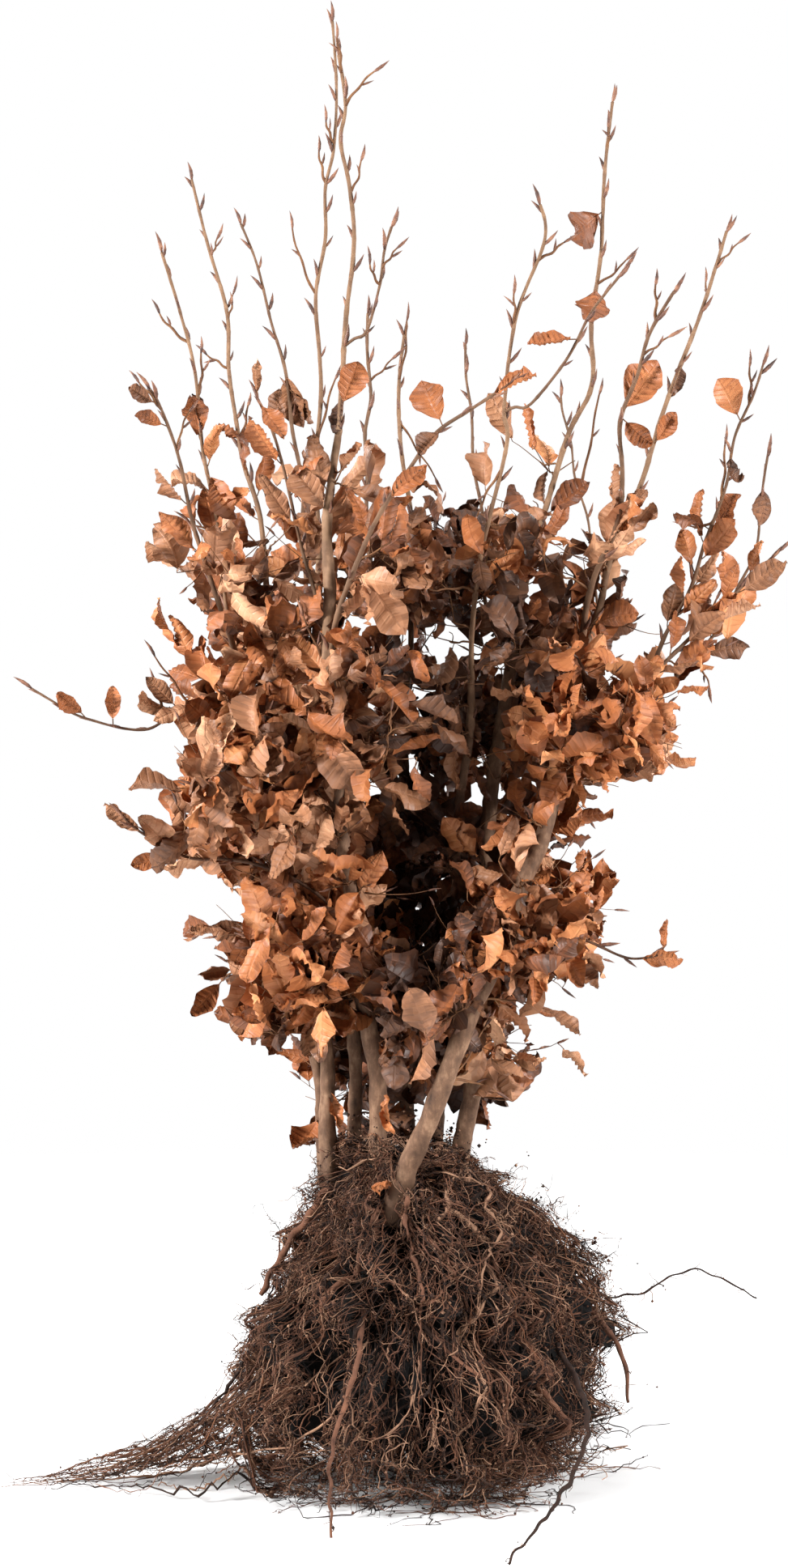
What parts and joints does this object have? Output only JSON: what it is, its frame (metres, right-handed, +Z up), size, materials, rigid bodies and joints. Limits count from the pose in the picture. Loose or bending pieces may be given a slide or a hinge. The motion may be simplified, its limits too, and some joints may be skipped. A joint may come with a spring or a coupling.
{
  "type": "beech sapling clump with root ball",
  "caption": "Clump of slender beech saplings in dry winter leaf, standing on the flat underside of its own fibrous root mass.",
  "frame": {"origin": "centre of the root mass's flat underside", "axes": "+Z up along the stems, -Y towards the front, +X to the right seen from the front"},
  "size_m": [0.8722, 0.6575, 1.6481],
  "materials": {
    "stem_bark": "smooth grey-brown bark with fine pale pores, darker and earth-stained at the foot",
    "shoot_bark": "smooth olive-tan young bark with bud scars",
    "root_fibre": "matte dark brown fibrous roots with crumbs of soil",
    "dry_leaf": "dry curled leaves, tan to orange brown, slightly silky"
  },
  "bodies": {
    "root": {"fork_centre": "shoot_bark", "fork_right": "shoot_bark", "leaves_centre_back": "dry_leaf", "leaves_centre_low": "dry_leaf", "leaves_centre_low_back": "dry_leaf", "leaves_centre_right": "dry_leaf", "leaves_centre_upper": "dry_leaf", "leaves_left_back": "dry_leaf", "leaves_left_low": "dry_leaf", "leaves_left_middle": "dry_leaf", "leaves_left_upper": "dry_leaf", "leaves_right_back": "dry_leaf", "leaves_right_low": "dry_leaf", "leaves_right_middle": "dry_leaf", "leaves_right_upper": "dry_leaf", "root_back": "root_fibre", "root_ball": "root_fibre", "root_front_left": "root_fibre", "root_front_right": "root_fibre", "root_left_collar": "root_fibre", "root_right_fine": "root_fibre", "root_right_thick": "root_fibre", "root_spread_back": "root_fibre", "root_spread_left": "root_fibre", "shoot_centre_back": "shoot_bark", "shoot_centre_front": "shoot_bark", "shoot_centre_right_back": "shoot_bark", "shoot_left_back": "shoot_bark", "shoot_left_front": "shoot_bark", "shoot_left_low": "shoot_bark", "shoot_left_lowest": "shoot_bark", "shoot_left_outer": "shoot_bark", "shoot_right_back": "shoot_bark", "shoot_right_inner": "shoot_bark", "shoot_right_low": "shoot_bark", "shoot_right_lowest": "shoot_bark", "shoot_right_outer": "shoot_bark", "shoot_right_outermost": "shoot_bark", "stem_1": "stem_bark", "stem_2": "stem_bark", "stem_3": "stem_bark", "stem_4": "stem_bark", "stem_5": "stem_bark", "stem_6": "stem_bark", "stem_7": "stem_bark", "stem_8": "stem_bark"}
  },
  "joints": []
}
